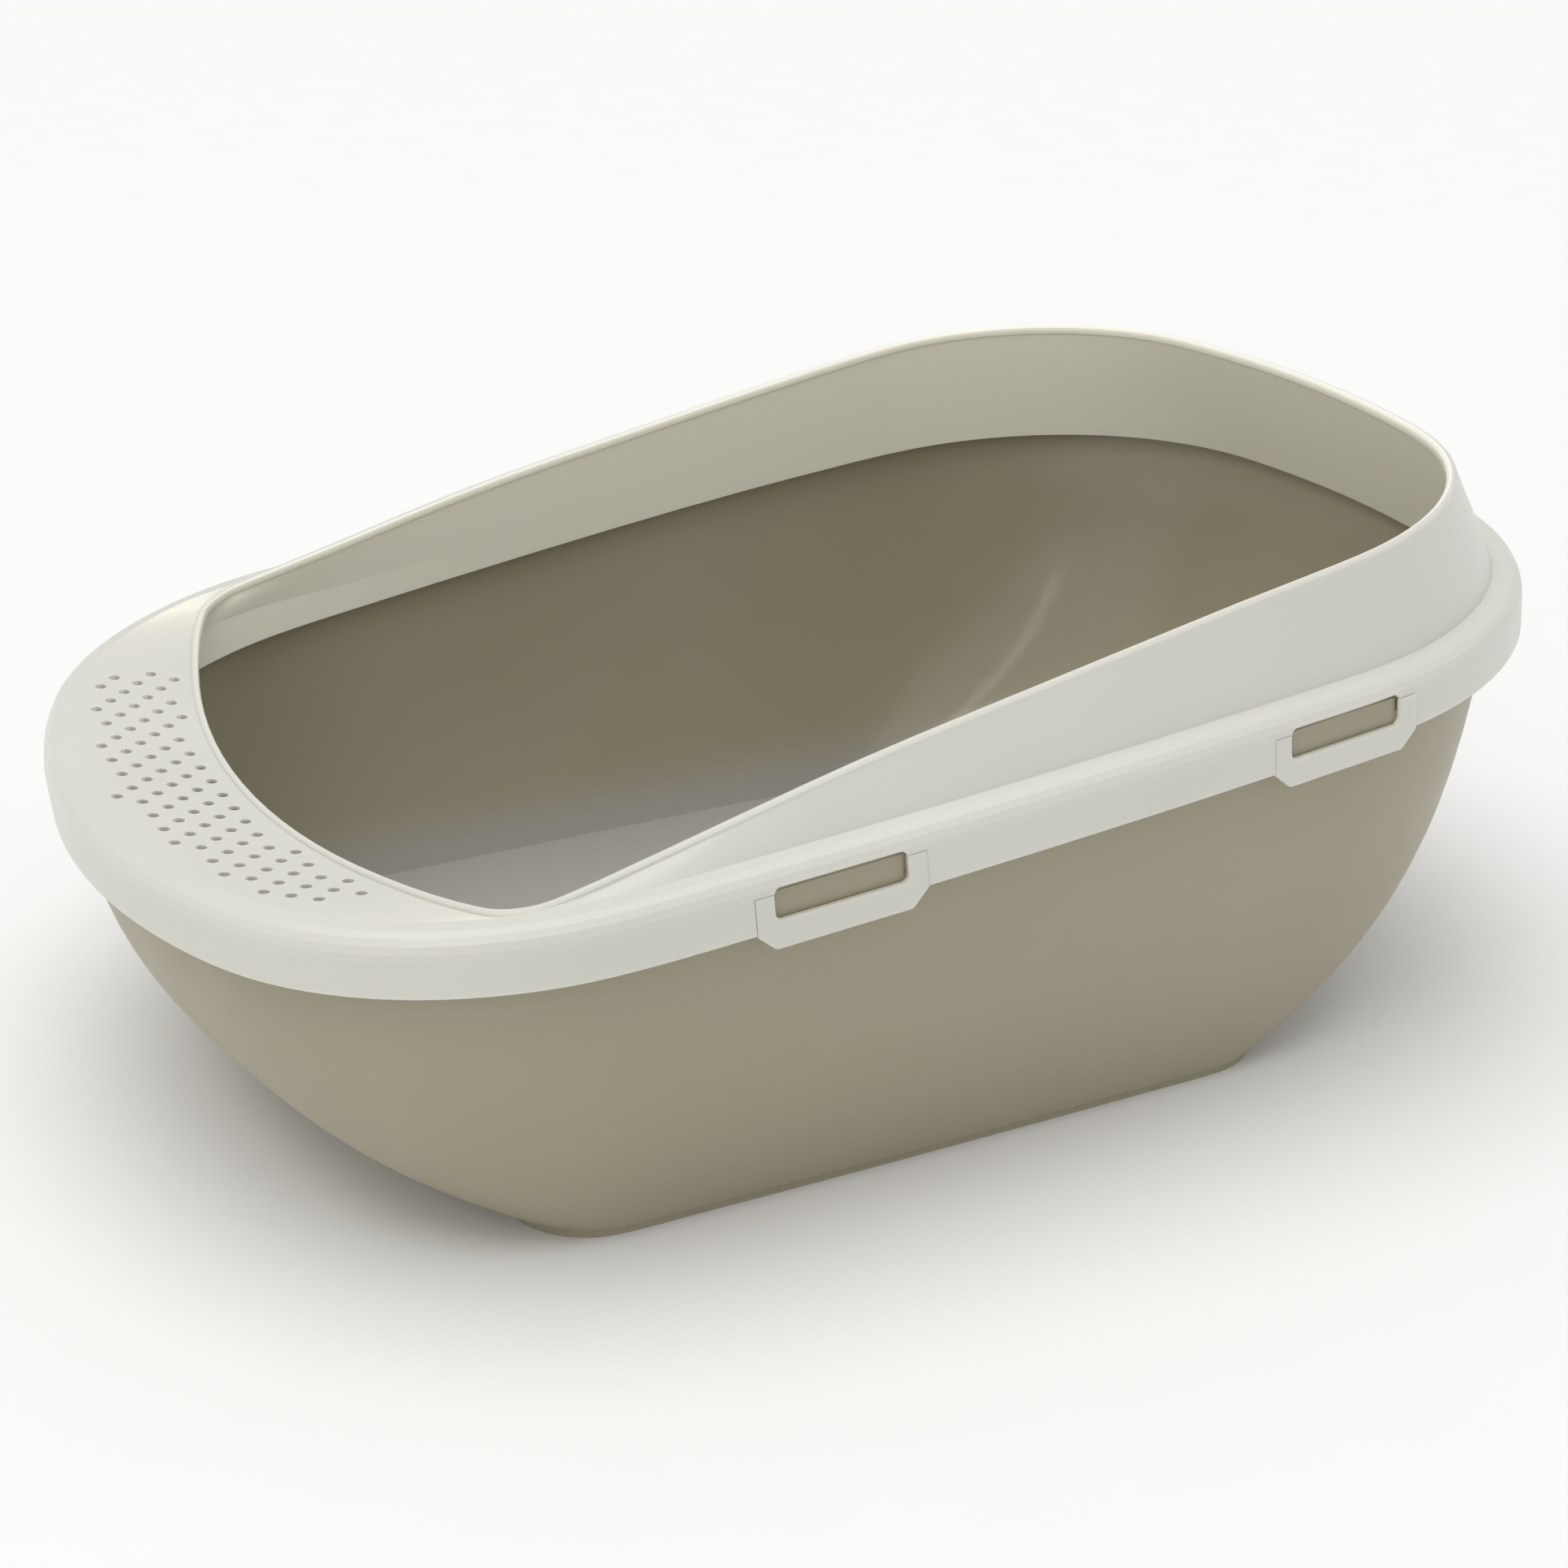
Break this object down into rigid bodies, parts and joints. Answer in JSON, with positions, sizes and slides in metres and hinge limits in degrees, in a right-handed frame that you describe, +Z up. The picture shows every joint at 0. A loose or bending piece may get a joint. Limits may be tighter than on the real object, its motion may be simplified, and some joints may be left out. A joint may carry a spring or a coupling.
{
  "type": "cat litter tray",
  "caption": "Open cat litter tray with a high clip-on rim: low perforated entry at the front, wing walls rising to the rear, spring latches on the long sides.",
  "frame": {"origin": "centre of the bounding box's bottom face, on the ground", "axes": "+Z up; the low entry faces -Y and the high rear faces +Y; X across the tray"},
  "size_m": [0.4499, 0.6586, 0.2555],
  "materials": {
    "rim_plastic": "off-white moulded polypropylene, satin",
    "tray_plastic": "taupe moulded polypropylene, glossier inside than outside"
  },
  "bodies": {
    "tray": {"tray": "tray_plastic"},
    "rim": {"rim": "rim_plastic"},
    "latch_front_right": {"latch_front_right": "rim_plastic"},
    "latch_front_left": {"latch_front_left": "rim_plastic"},
    "latch_rear_right": {"latch_rear_right": "rim_plastic"},
    "latch_rear_left": {"latch_rear_left": "rim_plastic"}
  },
  "joints": [
    {"name": "rim_lift", "type": "slide", "parent": "tray", "child": "rim", "axis": [0, -0.0896, 0.996], "range_m": [0, 0.12]},
    {"name": "latch_front_right_flex", "type": "hinge", "parent": "rim", "child": "latch_front_right", "pos_m": [0.22342, -0.09131, 0.16278], "axis": [-0.0306, -0.9955, -0.0896], "range_deg": [0, 12], "stiffness_Nm_per_rad": 0.5},
    {"name": "latch_front_left_flex", "type": "hinge", "parent": "rim", "child": "latch_front_left", "pos_m": [-0.22342, -0.09131, 0.16278], "axis": [-0.0306, 0.9955, 0.0896], "range_deg": [0, 12], "stiffness_Nm_per_rad": 0.5},
    {"name": "latch_rear_right_flex", "type": "hinge", "parent": "rim", "child": "latch_rear_right", "pos_m": [0.22296, 0.14176, 0.18376], "axis": [0.0344, -0.9954, -0.0896], "range_deg": [0, 12], "stiffness_Nm_per_rad": 0.5},
    {"name": "latch_rear_left_flex", "type": "hinge", "parent": "rim", "child": "latch_rear_left", "pos_m": [-0.22296, 0.14176, 0.18376], "axis": [0.0344, 0.9954, 0.0896], "range_deg": [0, 12], "stiffness_Nm_per_rad": 0.5}
  ]
}
